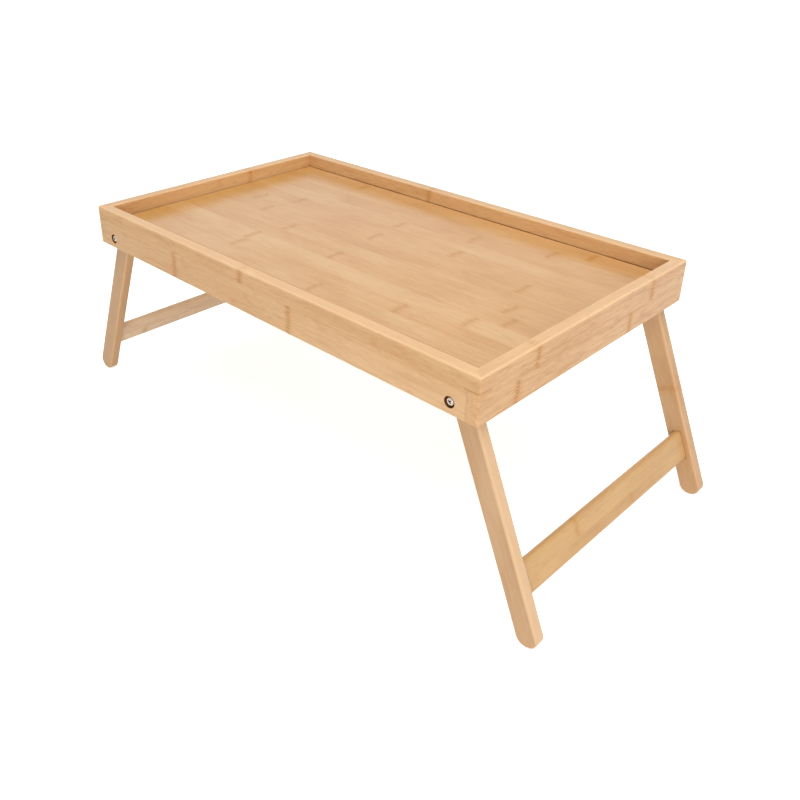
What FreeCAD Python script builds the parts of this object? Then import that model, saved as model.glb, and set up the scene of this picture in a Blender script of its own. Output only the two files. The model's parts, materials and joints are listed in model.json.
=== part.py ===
import FreeCAD, Part
import math
import os

# Folding bed tray table of laminated bamboo.
# Four rails make a rim whose corners are mitred above and lapped below, each rail running through
# at one end and let in at the other. A thin panel sits in a groove all round. Two splayed leg
# frames turn on machine screws in the long rails, rest against the bottom arris of the end rails
# when they stand, and fold flat into the hollow under the panel.
# Millimetres, +Z up, +X along the tray, the front long side towards -Y. The origin lies on the
# floor under the middle of the tray.

Vector = FreeCAD.Vector
X_AXIS = Vector(1, 0, 0)
Y_AXIS = Vector(0, 1, 0)
Z_AXIS = Vector(0, 0, 1)
ORIGIN = Vector(0, 0, 0)

# ---------------------------------------------------------------- driving dimensions

# Tray
tray_length = 500.0
tray_width = 300.0
overall_height = 219.0
rim_height = 40.0
rail_thickness = 11.0
rim_top_rounding = 1.2
rim_bottom_rounding = 0.8
rim_corner_rounding = 1.5

# Rim corners
lap_above_panel = 1.0
lap_kerf = 0.4
lap_kerf_overrun = 3.5
tenon_thickness = 4.0
tenon_length = 4.0
tenon_above_rim_bottom = 4.0
tenon_below_panel = 4.0
tenon_side_gap = 0.05
tenon_end_gap = 0.3

# Panel
panel_thickness = 5.0
panel_tongue_thickness = 3.0
panel_tongue_reach = 3.5
panel_side_gap = 0.8
panel_edge_rounding = 0.3
groove_end_gap = 0.5
groove_top_gap = 0.1

# Leg frames
leg_width = 20.0
leg_thickness = 11.0
leg_rounding = 2.5
leg_end_chamfer = 1.4
leg_splay = 23.2
crossbar_width = 28.0
crossbar_thickness = 8.0
crossbar_rounding = 3.5
crossbar_above_foot = 41.24
crossbar_mortise_depth = 5.0
crossbar_side_gap = 0.05
crossbar_end_gap = 0.2
stow_gap = 0.5
stop_gap = 0.1
leg_to_rail_gap = 0.3
leg_to_washer_gap = 0.2

# M4 pivot hardware: a pan-head screw, 28 mm long under its head
screw_diameter = 4.0
thread_past_nut = 2.6
head_diameter = 7.0
head_height = 2.6
head_side_height = 1.3
head_top_diameter = 4.6
recess_width = 0.9
recess_span = 3.6
recess_depth = 1.6
counterbore_side_gap = 1.25
head_sunk = 0.3
screw_hole_gap = 0.1
leg_bore_gap = 0.08
washer_bore_gap = 0.15
nut_thread_gap = 0.05
washer_diameter = 9.0
washer_thickness = 0.8
nut_across_flats = 7.0
nut_height = 5.0
nut_hex_height = 3.4
nut_collar_diameter = 6.2

# ---------------------------------------------------------------- derived places

half_length = tray_length / 2
half_width = tray_width / 2
inner_half_length = half_length - rail_thickness
inner_half_width = half_width - rail_thickness
rim_top = overall_height
rim_bottom = rim_top - rim_height

# The folded legs lie flush with the bottom of the rim, just clear of the panel above them.
pivot_rise = leg_width / 2
pivot_height = rim_bottom + pivot_rise
panel_bottom = rim_bottom + leg_width + stow_gap
panel_top = panel_bottom + panel_thickness
tongue_top = panel_bottom + panel_tongue_thickness
groove_depth = panel_tongue_reach + groove_end_gap
lap_line = panel_top + lap_above_panel
tenon_bottom = rim_bottom + tenon_above_rim_bottom
tenon_top = panel_bottom - tenon_below_panel

# The pivot stands back from the end rail by as much as lets the edge of a leaning leg meet that
# rail's rounded bottom arris at the wanted splay. All the arris figures are from its centre.
lean = math.radians(leg_splay)
arris_down = pivot_rise - rim_bottom_rounding
stop_reach = leg_width / 2 + rim_bottom_rounding + stop_gap
arris_out = (stop_reach + arris_down * math.sin(lean)) / math.cos(lean)
pivot_x = inner_half_length + rim_bottom_rounding - arris_out
foot_distance = (pivot_height - leg_width / 2) / math.cos(lean)
crossbar_distance = foot_distance - crossbar_above_foot

# Stations along a pivot screw, measured inward from the outer face of the long rail.
head_seat = head_sunk + head_height
leg_outer_station = rail_thickness + leg_to_rail_gap
leg_inner_station = leg_outer_station + leg_thickness
washer_seat = leg_inner_station + leg_to_washer_gap
nut_seat = washer_seat + washer_thickness
screw_tip = nut_seat + nut_height + thread_past_nut

# Cutters stand this far proud of what they cut, and edges are picked out to these tolerances.
OVERCUT = 1.0
EXACT = 1e-6
CLOSE = 0.01


# ---------------------------------------------------------------- shape helpers

def block(x_min, x_max, y_min, y_max, z_min, z_max):
    return Part.makeBox(x_max - x_min, y_max - y_min, z_max - z_min, Vector(x_min, y_min, z_min))


def edges_where(shape, wanted):
    return [edge for edge in shape.Edges if wanted(edge.BoundBox)]


def lies_at_height(box, height):
    return abs(box.ZMin - height) < EXACT and abs(box.ZMax - height) < EXACT


def runs_along_y(box):
    return box.XLength < EXACT and box.ZLength < EXACT


def turned(shape, axis, degrees):
    copy = shape.copy()
    copy.rotate(ORIGIN, axis, degrees)
    return copy


def moved(shape, x, y, z):
    copy = shape.copy()
    copy.translate(Vector(x, y, z))
    return copy


def rounded_bar(width, height, depth, rounding):
    """A bar of rounded-rectangle section in XZ, centred there, running from 0 to depth along Y."""
    bar = block(-width / 2, width / 2, 0, depth, -height / 2, height / 2)
    return bar.makeFillet(rounding, edges_where(bar, runs_along_y))


def turned_solid(points):
    """A solid of revolution about Z from a closed outline of (radius, height) points."""
    outline = Part.makePolygon([Vector(radius, 0, height) for radius, height in points + points[:1]])
    return Part.Face(outline).revolve(ORIGIN, Z_AXIS, 360)


# ---------------------------------------------------------------- rim

def rim_ring():
    """The whole rim in one piece, with every edge eased, before it is parted into rails."""
    outer = block(-half_length, half_length, -half_width, half_width, rim_bottom, rim_top)
    corners = edges_where(outer, lambda box: box.ZLength > rim_height / 2)
    outer = outer.makeFillet(rim_corner_rounding, corners)
    outer = outer.makeFillet(rim_top_rounding, edges_where(outer, lambda box: lies_at_height(box, rim_top)))
    outer = outer.makeFillet(
        rim_bottom_rounding, edges_where(outer, lambda box: lies_at_height(box, rim_bottom))
    )
    hollow = block(
        -inner_half_length, inner_half_length, -inner_half_width, inner_half_width,
        rim_bottom - OVERCUT, rim_top + OVERCUT,
    )
    ring = outer.cut(hollow)
    for height, rounding in ((rim_top, rim_top_rounding), (rim_bottom, rim_bottom_rounding)):
        inner_edges = edges_where(
            ring,
            lambda box: lies_at_height(box, height)
            and box.XMax < inner_half_length + CLOSE
            and box.XMin > -inner_half_length - CLOSE
            and box.YMax < inner_half_width + CLOSE
            and box.YMin > -inner_half_width - CLOSE,
        )
        ring = ring.makeFillet(rounding, inner_edges)
    return ring


def rail_space(half_run, half_across):
    """The space of a rail that lies along X on the -Y side: mitred above the lap line at both
    ends, and below it full length at the -X end and stopped one rail short at the +X end."""
    face = -half_across
    depth = rail_thickness + OVERCUT
    mitre_points = [
        Vector(-half_run, face, lap_line),
        Vector(half_run, face, lap_line),
        Vector(half_run - depth, face + depth, lap_line),
        Vector(-half_run + depth, face + depth, lap_line),
        Vector(-half_run, face, lap_line),
    ]
    mitred = Part.Face(Part.makePolygon(mitre_points)).extrude(Vector(0, 0, rim_top - lap_line))
    lapped = block(
        -half_run, half_run - rail_thickness, face, face + rail_thickness, rim_bottom, lap_line
    )
    return mitred.fuse(lapped)


def rail_tenon(half_run, half_across):
    """The stub tenon on the stopped end of a rail."""
    shoulder = half_run - rail_thickness
    outer_cheek = -half_across + (rail_thickness - tenon_thickness) / 2
    return block(
        shoulder, shoulder + tenon_length,
        outer_cheek, outer_cheek + tenon_thickness,
        tenon_bottom, tenon_top,
    )


def rail_mortise(half_run, half_across):
    """The pocket for the neighbour's tenon, in the inner face near the full-length end."""
    width = tenon_thickness + 2 * tenon_side_gap
    depth = tenon_length + tenon_end_gap
    near_cheek = -half_run + (rail_thickness - width) / 2
    mouth = -half_across + rail_thickness
    return block(
        near_cheek, near_cheek + width,
        mouth - depth, mouth,
        tenon_bottom - tenon_side_gap, tenon_top + tenon_side_gap,
    )


def lap_kerfs(half_run, half_across):
    """The saw kerfs along the lap line, under the mitred heads at both ends of a rail."""
    inner = -half_across + rail_thickness + OVERCUT
    outer = -half_across - OVERCUT
    through_end = block(
        -half_run - OVERCUT, -half_run + rail_thickness, outer, inner, lap_line, lap_line + lap_kerf
    )
    stopped_end = block(
        half_run - rail_thickness - lap_kerf_overrun, half_run + OVERCUT,
        outer, inner,
        lap_line, lap_line + lap_kerf,
    )
    return [through_end, stopped_end]


def panel_groove():
    return block(
        -inner_half_length - groove_depth, inner_half_length + groove_depth,
        -inner_half_width - groove_depth, inner_half_width + groove_depth,
        panel_bottom, tongue_top + groove_top_gap,
    )


def screw_holes(half_across):
    """Counterbored screw holes at both ends of a long rail that lies on the -Y side."""
    holes = []
    for x in (-pivot_x, pivot_x):
        place = Vector(x, -half_across - OVERCUT, pivot_height)
        counterbore = Part.makeCylinder(
            head_diameter / 2 + counterbore_side_gap, head_seat + OVERCUT, place, Y_AXIS
        )
        bore = Part.makeCylinder(
            screw_diameter / 2 + screw_hole_gap, rail_thickness + 2 * OVERCUT, place, Y_AXIS
        )
        holes.append(counterbore.fuse(bore))
    return holes


def rim_rails():
    """Parts the ring into four rails, each the last one turned a quarter round."""
    ring = rim_ring()
    groove = panel_groove()
    rails = {}
    layout = (
        ("front_rail", 0, half_length, half_width, True),
        ("right_rail", 90, half_width, half_length, False),
        ("back_rail", 180, half_length, half_width, True),
        ("left_rail", 270, half_width, half_length, False),
    )
    for name, quarter, half_run, half_across, carries_legs in layout:
        rail = ring.common(turned(rail_space(half_run, half_across), Z_AXIS, quarter))
        rail = rail.fuse(turned(rail_tenon(half_run, half_across), Z_AXIS, quarter))
        cuts = [groove, turned(rail_mortise(half_run, half_across), Z_AXIS, quarter)]
        cuts += [turned(kerf, Z_AXIS, quarter) for kerf in lap_kerfs(half_run, half_across)]
        if carries_legs:
            cuts += [turned(hole, Z_AXIS, quarter) for hole in screw_holes(half_across)]
        rails[name] = rail.cut(cuts).removeSplitter()
    return rails


# ---------------------------------------------------------------- panel

def panel():
    """The panel: a thin tongue all round that the grooves hold, and a raised field between."""
    tongue = block(
        -inner_half_length - panel_tongue_reach, inner_half_length + panel_tongue_reach,
        -inner_half_width - panel_tongue_reach, inner_half_width + panel_tongue_reach,
        panel_bottom, tongue_top,
    )
    field = block(
        -inner_half_length + panel_side_gap, inner_half_length - panel_side_gap,
        -inner_half_width + panel_side_gap, inner_half_width - panel_side_gap,
        panel_bottom, panel_top,
    )
    field_rim = edges_where(field, lambda box: lies_at_height(box, panel_top))
    field = field.makeFillet(panel_edge_rounding, field_rim)
    return tongue.fuse(field).removeSplitter()


# ---------------------------------------------------------------- leg frames

def standing(shape, side):
    """Leans a leg-frame piece, drawn hanging from the pivot, out to its stop on one side."""
    leaned = moved(turned(shape, Y_AXIS, -leg_splay), pivot_x, 0, pivot_height)
    if side < 0:
        leaned = leaned.mirror(ORIGIN, X_AXIS)
    return leaned


def leg_end(centre_distance):
    """A disc as thick as the leg with chamfered edges, its middle that far below the pivot."""
    radius = leg_width / 2
    disc = turned_solid([
        (0, 0),
        (radius - leg_end_chamfer, 0),
        (radius, leg_end_chamfer),
        (radius, leg_thickness - leg_end_chamfer),
        (radius - leg_end_chamfer, leg_thickness),
        (0, leg_thickness),
    ])
    return moved(turned(disc, X_AXIS, -90), 0, 0, -centre_distance)


def leg_blank():
    """A slat with rounded long edges and half-round ends, its top end round the pivot."""
    radius = leg_width / 2
    length = foot_distance + leg_width
    bar = block(-radius, radius, 0, leg_thickness, -foot_distance - radius, radius)
    bar = bar.makeFillet(leg_rounding, edges_where(bar, lambda box: box.ZLength > length / 2))
    middle = block(-radius, radius, 0, leg_thickness, -foot_distance, 0)
    outline = middle.fuse([leg_end(0), leg_end(foot_distance)]).removeSplitter()
    return bar.common(outline).removeSplitter()


def leg(front):
    """A leg hanging from the pivot; the crossbar's mortise is in the face towards the middle."""
    bore = Part.makeCylinder(
        screw_diameter / 2 + leg_bore_gap, leg_thickness + 2 * OVERCUT, Vector(0, -OVERCUT, 0), Y_AXIS
    )
    mortise = rounded_bar(
        crossbar_thickness + 2 * crossbar_side_gap,
        crossbar_width + 2 * crossbar_side_gap,
        crossbar_mortise_depth + OVERCUT,
        crossbar_rounding + crossbar_side_gap,
    )
    mortise = moved(mortise, 0, leg_thickness - crossbar_mortise_depth, -crossbar_distance)
    piece = moved(leg_blank().cut([bore, mortise]), 0, -half_width + leg_outer_station, 0)
    if not front:
        piece = piece.mirror(ORIGIN, Y_AXIS)
    return piece


def crossbar():
    half_span = half_width - leg_inner_station + crossbar_mortise_depth - crossbar_end_gap
    bar = rounded_bar(crossbar_thickness, crossbar_width, 2 * half_span, crossbar_rounding)
    return moved(bar, 0, -half_span, -crossbar_distance)


# ---------------------------------------------------------------- pivot hardware
# Each piece is drawn along +Z, from the outer face of the long rail inward.

def pivot_screw():
    """A pan-head machine screw with a cross recess, its head down in the counterbore."""
    radius = screw_diameter / 2
    head_radius = head_diameter / 2
    head_top = head_seat - head_height
    screw = turned_solid([
        (0, head_top),
        (head_top_diameter / 2, head_top),
        (head_radius, head_seat - head_side_height),
        (head_radius, head_seat),
        (radius, head_seat),
        (radius, screw_tip),
        (0, screw_tip),
    ])
    reach = recess_span / 2
    slot = block(-reach, reach, -recess_width / 2, recess_width / 2, head_top, head_top + recess_depth)
    return screw.cut([slot, turned(slot, Z_AXIS, 90)])


def nut_washer():
    disc = Part.makeCylinder(washer_diameter / 2, washer_thickness, Vector(0, 0, washer_seat))
    hole_radius = screw_diameter / 2 + washer_bore_gap
    hole_foot = Vector(0, 0, washer_seat - OVERCUT)
    return disc.cut(Part.makeCylinder(hole_radius, washer_thickness + 2 * OVERCUT, hole_foot))


def lock_nut():
    """A hexagon lock nut with the round collar that holds its insert."""
    corner = Vector(nut_across_flats / 2 / math.cos(math.radians(30)), 0, nut_seat)
    corners = [FreeCAD.Rotation(Z_AXIS, 60 * n).multVec(corner) for n in range(7)]
    hexagon = Part.Face(Part.makePolygon(corners)).extrude(Vector(0, 0, nut_hex_height))
    collar = Part.makeCylinder(nut_collar_diameter / 2, nut_height, Vector(0, 0, nut_seat))
    bore_radius = screw_diameter / 2 + nut_thread_gap
    bore = Part.makeCylinder(bore_radius, nut_height + 2 * OVERCUT, Vector(0, 0, nut_seat - OVERCUT))
    return hexagon.fuse(collar).cut(bore).removeSplitter()


def at_pivot(shape, side, front):
    """Lays a hardware piece on a pivot axis, head outward."""
    laid = turned(shape, X_AXIS, -90 if front else 90)
    return moved(laid, side * pivot_x, -half_width if front else half_width, pivot_height)


# ---------------------------------------------------------------- assembly

def build():
    pieces = rim_rails()
    pieces["panel"] = panel()
    for side_name, side in (("left", -1), ("right", 1)):
        pieces[side_name + "_crossbar"] = standing(crossbar(), side)
        for end_name, front in (("front", True), ("back", False)):
            corner = end_name + "_" + side_name
            pieces[corner + "_leg"] = standing(leg(front), side)
            pieces[corner + "_pivot_screw"] = at_pivot(pivot_screw(), side, front)
            pieces[corner + "_nut_washer"] = at_pivot(nut_washer(), side, front)
            pieces[corner + "_lock_nut"] = at_pivot(lock_nut(), side, front)
    return pieces


os.makedirs("parts", exist_ok=True)
for name, shape in build().items():
    piece = shape.Solids[0]
    piece.exportStep("parts/" + name + ".step")
    print(name, round(piece.Volume, 1), "mm3", "solids", len(shape.Solids), "valid", piece.isValid())
print("pivot at x", round(pivot_x, 4), "z", round(pivot_height, 4), "foot", round(foot_distance, 3), "away")
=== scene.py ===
import json
import math

import bmesh
import bpy
from mathutils import Matrix, Vector


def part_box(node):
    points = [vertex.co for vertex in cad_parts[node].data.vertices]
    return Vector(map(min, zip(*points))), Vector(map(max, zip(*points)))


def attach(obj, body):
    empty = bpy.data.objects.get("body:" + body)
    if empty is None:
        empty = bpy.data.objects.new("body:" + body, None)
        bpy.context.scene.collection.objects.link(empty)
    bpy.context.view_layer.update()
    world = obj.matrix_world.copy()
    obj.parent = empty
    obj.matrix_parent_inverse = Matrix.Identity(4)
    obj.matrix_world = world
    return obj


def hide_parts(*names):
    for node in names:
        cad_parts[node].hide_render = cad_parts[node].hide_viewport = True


# Looks of a folding bed tray table: lacquered bamboo, laminated from pressed strips, with zinc
# plated screws and nuts. Metres, +Z up, the front long side towards -Y.

MM = 0.001
PLUS_X = Vector((1, 0, 0))
PLUS_Y = Vector((0, 1, 0))
PLUS_Z = Vector((0, 0, 1))

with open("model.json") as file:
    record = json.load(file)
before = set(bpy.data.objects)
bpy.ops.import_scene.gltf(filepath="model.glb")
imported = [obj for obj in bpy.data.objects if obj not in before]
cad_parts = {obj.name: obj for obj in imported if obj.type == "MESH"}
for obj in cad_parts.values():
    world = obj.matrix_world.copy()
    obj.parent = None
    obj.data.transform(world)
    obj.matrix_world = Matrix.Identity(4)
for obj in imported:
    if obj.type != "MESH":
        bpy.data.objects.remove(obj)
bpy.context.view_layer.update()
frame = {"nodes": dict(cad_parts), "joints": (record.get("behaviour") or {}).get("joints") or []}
nodes = frame["nodes"]

# ---------------------------------------------------------------- sizes read off the frame

rim_low, rim_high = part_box("front_rail")
leg_low, leg_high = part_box("front_right_leg")
panel_low, panel_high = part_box("panel")
HALF_LENGTH = rim_high.x
HALF_WIDTH = -rim_low.y
RAIL_THICKNESS = rim_high.y - rim_low.y
RIM_TOP = rim_high.z
RIM_BOTTOM = rim_low.z
PANEL_TOP = panel_high.z
LEG_THICKNESS = leg_high.y - leg_low.y
FOLD = {joint["child"]: joint for joint in frame["joints"]}["right_leg_frame"]
PIVOT_X = abs(FOLD["pos_m"][0])
PIVOT_Z = FOLD["pos_m"][2]

# A leg frame folds by a right angle and its splay.
SPLAY = math.radians(FOLD["range_deg"][1] - 90.0)

# ---------------------------------------------------------------- sizes that are the CAD part's

LAP_ABOVE_PANEL = 1.0 * MM
LAP_LINE = PANEL_TOP + LAP_ABOVE_PANEL
LAP_KERF = 0.4 * MM
KERF_OVERRUN = 3.5 * MM
PANEL_SIDE_GAP = 0.8 * MM
TRENCH_DEPTH = 2.5 * MM
LEG_WIDTH = 20.0 * MM
BAR_DOWN = 153.5 * MM
BAR_HEIGHT = 28.0 * MM
BAR_THICKNESS = 8.0 * MM
BORE_RADIUS = 4.75 * MM

# ---------------------------------------------------------------- camera

PICTURE_SIZE = 800.0
FOCAL_PIXELS = 864.9
AXIS_PIXEL_X = 347.8
AXIS_PIXEL_Y = 320.8
SENSOR_WIDTH = 36.0
CLIP_END = 100.0
CAMERA_PLACE = Vector((0.54557, -0.56983, 0.51478))
CAMERA_RIGHT = Vector((0.70277, 0.711414, 0.002069))
CAMERA_DOWN = Vector((0.318896, -0.312419, -0.894818))
CAMERA_AHEAD = Vector((-0.63594, 0.629511, -0.446426))


def make_camera():
    """The photograph's camera, as fitted to the rim's corners and the legs' edges."""
    data = bpy.data.cameras.new("camera")
    data.sensor_width = SENSOR_WIDTH
    data.lens = FOCAL_PIXELS * SENSOR_WIDTH / PICTURE_SIZE
    data.shift_x = (PICTURE_SIZE / 2 - AXIS_PIXEL_X) / PICTURE_SIZE
    data.shift_y = (AXIS_PIXEL_Y - PICTURE_SIZE / 2) / PICTURE_SIZE
    data.clip_end = CLIP_END
    camera = bpy.data.objects.new("camera", data)
    turn = Matrix((CAMERA_RIGHT, -CAMERA_DOWN, -CAMERA_AHEAD)).transposed()
    camera.matrix_world = Matrix.Translation(CAMERA_PLACE) @ turn.to_4x4()
    bpy.context.scene.collection.objects.link(camera)
    bpy.context.scene.camera = camera


make_camera()

# ---------------------------------------------------------------- shader graphs

# Noise lies mostly between these two.
NOISE_LOW = 0.3
NOISE_HIGH = 0.7

# Where a mix node keeps its sockets for colours.
MIX_SHARE, MIX_FIRST, MIX_SECOND, MIX_RESULT = 0, 6, 7, 2


def srgb(red, green, blue):
    """A colour written as it looks, 0 to 255, turned into the linear values that nodes take."""
    linear = []
    for value in (red, green, blue):
        share = value / 255.0
        linear.append(share / 12.92 if share <= 0.04045 else ((share + 0.055) / 1.055) ** 2.4)
    return (*linear, 1.0)


class Graph:
    """A node tree with one output, and short calls for the nodes used here."""

    def __init__(self, tree, output):
        self.tree = tree
        self.tree.nodes.clear()
        self.output = self.tree.nodes.new(output)

    def add(self, kind, **settings):
        node = self.tree.nodes.new(kind)
        for key, value in settings.items():
            setattr(node, key, value)
        return node

    def put(self, socket, value):
        if isinstance(value, bpy.types.NodeSocket):
            self.tree.links.new(value, socket)
        else:
            socket.default_value = value

    def show(self, shader):
        self.put(self.output.inputs["Surface"], shader)

    def math(self, operation, first, second=None, clamp=False):
        node = self.add("ShaderNodeMath", operation=operation, use_clamp=clamp)
        self.put(node.inputs[0], first)
        if second is not None:
            self.put(node.inputs[1], second)
        return node.outputs[0]

    def product(self, first, *others):
        for other in others:
            first = self.math("MULTIPLY", first, other)
        return first

    def vector(self, operation, first, second=None):
        node = self.add("ShaderNodeVectorMath", operation=operation)
        self.put(node.inputs[0], first)
        if second is not None:
            self.put(node.inputs[1], second)
        return node.outputs["Value" if operation in ("DOT_PRODUCT", "LENGTH") else "Vector"]

    def combine(self, x, y, z):
        node = self.add("ShaderNodeCombineXYZ")
        for socket, value in zip(node.inputs, (x, y, z)):
            self.put(socket, value)
        return node.outputs[0]

    def place(self):
        """The point on the piece, in the piece's own coordinates."""
        return self.add("ShaderNodeTexCoord").outputs["Object"]

    def noise(self, vector, detail=2.0):
        node = self.add("ShaderNodeTexNoise")
        self.put(node.inputs["Vector"], vector)
        self.put(node.inputs["Scale"], 1.0)
        self.put(node.inputs["Detail"], detail)
        return node.outputs[0]

    def even_noise(self, per_metre, detail=2.0):
        """Noise of the same fineness in all directions."""
        return self.noise(self.vector("MULTIPLY", self.place(), (per_metre,) * 3), detail)

    def fit(self, value, low, high, new_low, new_high, smooth=False):
        node = self.add("ShaderNodeMapRange")
        node.interpolation_type = "SMOOTHSTEP" if smooth else "LINEAR"
        self.put(node.inputs["Value"], value)
        self.put(node.inputs["From Min"], low)
        self.put(node.inputs["From Max"], high)
        self.put(node.inputs["To Min"], new_low)
        self.put(node.inputs["To Max"], new_high)
        return node.outputs[0]

    def swing(self, noise, low, high):
        """Noise, made to swing between two values."""
        return self.fit(noise, NOISE_LOW, NOISE_HIGH, low, high)

    def mix(self, share, first, second):
        node = self.add("ShaderNodeMix", data_type="RGBA", clamp_factor=True)
        self.put(node.inputs[MIX_SHARE], share)
        self.put(node.inputs[MIX_FIRST], first)
        self.put(node.inputs[MIX_SECOND], second)
        return node.outputs[MIX_RESULT]

    def mix_shaders(self, share, first, second):
        node = self.add("ShaderNodeMixShader")
        for socket, value in zip(node.inputs, (share, first, second)):
            self.put(socket, value)
        return node.outputs[0]

    def table(self, value, rows, low, high):
        """Looks value up in rows of (start, a, b, c). Each holds from its start to the next."""
        node = self.add("ShaderNodeValToRGB")
        ramp = node.color_ramp
        ramp.interpolation = "CONSTANT"
        for index, (start, *numbers) in enumerate(rows):
            place = min(max((start - low) / (high - low), 0.0), 1.0)
            stop = ramp.elements.new(place) if index else ramp.elements[0]
            stop.position = place
            stop.color = (*numbers, 1.0)
        ramp.elements.remove(ramp.elements[len(rows)])
        self.put(node.inputs[0], self.fit(value, low, high, 0.0, 1.0))
        parts = self.add("ShaderNodeSeparateColor")
        self.put(parts.inputs[0], node.outputs[0])
        return parts.outputs[0], parts.outputs[1], parts.outputs[2]

    def bump(self, height, distance, strength):
        node = self.add("ShaderNodeBump")
        self.put(node.inputs["Strength"], strength)
        self.put(node.inputs["Distance"], distance)
        self.put(node.inputs["Height"], height)
        return node.outputs[0]


class Material(Graph):
    """A new material and its graph."""

    def __init__(self, name):
        self.material = bpy.data.materials.new(name)
        self.material.use_nodes = True
        super().__init__(self.material.node_tree, "ShaderNodeOutputMaterial")

    def finish(self, **inputs):
        shader = self.add("ShaderNodeBsdfPrincipled")
        for key, value in inputs.items():
            self.put(shader.inputs[key.replace("_", " ")], value)
        self.show(shader.outputs[0])
        return self.material


# ---------------------------------------------------------------- bamboo

# Each wood's pale, middle and deep tones.
RIM_TONES = (srgb(215, 173, 122), srgb(206, 159, 108), srgb(192, 140, 86))
PANEL_TONES = (srgb(221, 178, 125), srgb(211, 160, 103), srgb(195, 139, 83))
LEG_TONES = (srgb(207, 170, 131), srgb(197, 158, 115), srgb(182, 137, 90))
BAR_TONES = (srgb(206, 166, 112), srgb(195, 153, 99), srgb(181, 132, 80))
LEFT_LEG_TONES = (srgb(199, 157, 111), srgb(190, 147, 98), srgb(175, 128, 76))
# Painted light: the left crossbar's tones are a paler, lit copy of the crossbars' bamboo.
LEFT_BAR_LIT_TONES = (srgb(240, 215, 181), srgb(229, 198, 162), srgb(211, 173, 132))

KNUCKLE_BROWN = srgb(150, 92, 14)
HALO_BROWN = srgb(198, 134, 50)
BUNDLE_BROWN = srgb(176, 120, 68)
GLUE_BROWN = srgb(110, 66, 34)
AMBER_BROWN = srgb(200, 145, 59)
# Painted shade: the brown of the lap kerfs' edges, of the foot of the rails' inner faces and of
# the panel's trench.
SEAM_SHADE_BROWN = srgb(128, 70, 26)
# Painted shade: the dark brown of the screw holes' walls.
BORE_SHADE_BROWN = srgb(104, 52, 18)
# A pale wood colour: painted highlights on the rim's and legs' edges, painted light on the near
# leg's outward face, and the paler tones of the end grain and the front rail's right end.
PALE_TONE_AND_HIGHLIGHT = srgb(248, 213, 169)
# Painted light: the rim's top faces drawn in this paler colour, as if lit more than the sides.
TOP_LIGHT_PAINT = srgb(244, 200, 151)
# Painted light: the lap kerfs' walls drawn pale, so that the shade inside them reads brown.
KERF_LIGHT_PAINT = srgb(250, 204, 146)

LACQUER_ROUGHNESS = 0.22
SATIN_ROUGHNESS = 0.34
BARE_ROUGHNESS = 0.9
LACQUER_IOR = 1.5
LACQUER_SPECULAR = 0.5
BARE_SPECULAR = 0.05

# Streaks make the lacquer this much smoother or rougher.
SMOOTHER = 0.03
ROUGHER = 0.05

# The layers of the grain: marks to the metre along the fibres, marks across them, and detail.
SWAY_LAYER = (16.0, 60.0, 2.0)
BROAD_LAYER = (7.0, 210.0, 2.0)
STREAK_LAYER = (26.0, 800.0, 3.0)
FINE_LAYER = (130.0, 2300.0, 2.0)
CLOUD_LAYER = (16.0, 36.0, 2.0)
BUNDLE_LAYER = (95.0, 1250.0, 1.0)
VEIN_LAYER = (9.0, 70.0, 1.0)
WOBBLE_LAYER = (12.0, 110.0, 2.0)
JITTER_LAYER = (8.0, 640.0, 1.0)
PATCH_LAYER = (14.0, 14.0, 2.0)
POOL_LAYER = (30.0, 40.0, 2.0)

# How far each layer moves the tone, from 0, pale, to 1, deep.
BROAD_SHIFT = 0.13
STREAK_SHIFT = 0.12
FINE_SHIFT = 0.08
CLOUD_SHIFT = 0.20

# How strongly the vascular marks and the knuckles' halos are drawn on plain grain.
DARK_BUNDLES = 0.30
PALE_BUNDLES = 0.35
VEINS = 0.18
PLAIN_HALOS = 0.22

# The noise at which each of these marks starts to show, and at which it is whole.
DARK_BUNDLE_NOISE = (0.56, 0.70)
PALE_BUNDLE_NOISE = (0.42, 0.28)
VEIN_NOISE = 0.5
VEIN_WIDTH = 0.03

# A strip's grain is taken from elsewhere, up to so many metres away, so that no two look alike.
STRIP_SHIFT = 7.3

# How far the fibres sway to either side.
SWAY = 0.9 * MM

# The least and the greatest distance between knuckles, and how far one strays from straight.
KNUCKLE_SPACINGS = (0.1, 0.4)
KNUCKLE_WOBBLE = 1.4 * MM
KNUCKLE_JITTER = 1.2 * MM

# How far from its middle a knuckle starts to fade, and where it has gone.
KNUCKLE_CORE = (1.5 * MM, 3.1 * MM)
KNUCKLE_HALO = (1.0 * MM, 8.0 * MM)

# A knuckle's dashes follow a sine wave. One starts where the wave passes the first of its edges,
# and is whole from the second. Gaps and faded dashes keep a share of the colour.
DASH_PITCH = 2.4 * MM
DASH_SLANT = 0.8
DASH_WAVER = 2.5
DASH_EDGES = (-0.1, 0.75)
DASH_GAPS = 0.15
FADING_NOISE = (0.3, 0.55)
FADED_DASHES = 0.35

# The fine fibres and the knuckles as heights, and what a height of 1 stands for.
FINE_HEIGHT = 0.6
KNUCKLE_HEIGHT = 1.4
WOOD_BUMP = 0.05 * MM
WOOD_BUMP_STRENGTH = 0.35

# Knuckles lie no further than this from a board's middle.
ANY_REACH = 0.5
RAIL_KNUCKLE_REACH = 190.0 * MM
PANEL_KNUCKLE_REACH = 203.0 * MM


def fibres(graph, s, w, d, per_length, per_width, detail):
    """Noise drawn out along the grain, its marks so many to the metre along and across."""
    along = graph.math("MULTIPLY", s, per_length)
    across = graph.math("MULTIPLY", w, per_width)
    through = graph.math("MULTIPLY", d, per_width)
    return graph.noise(graph.combine(along, across, through), detail)


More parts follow.
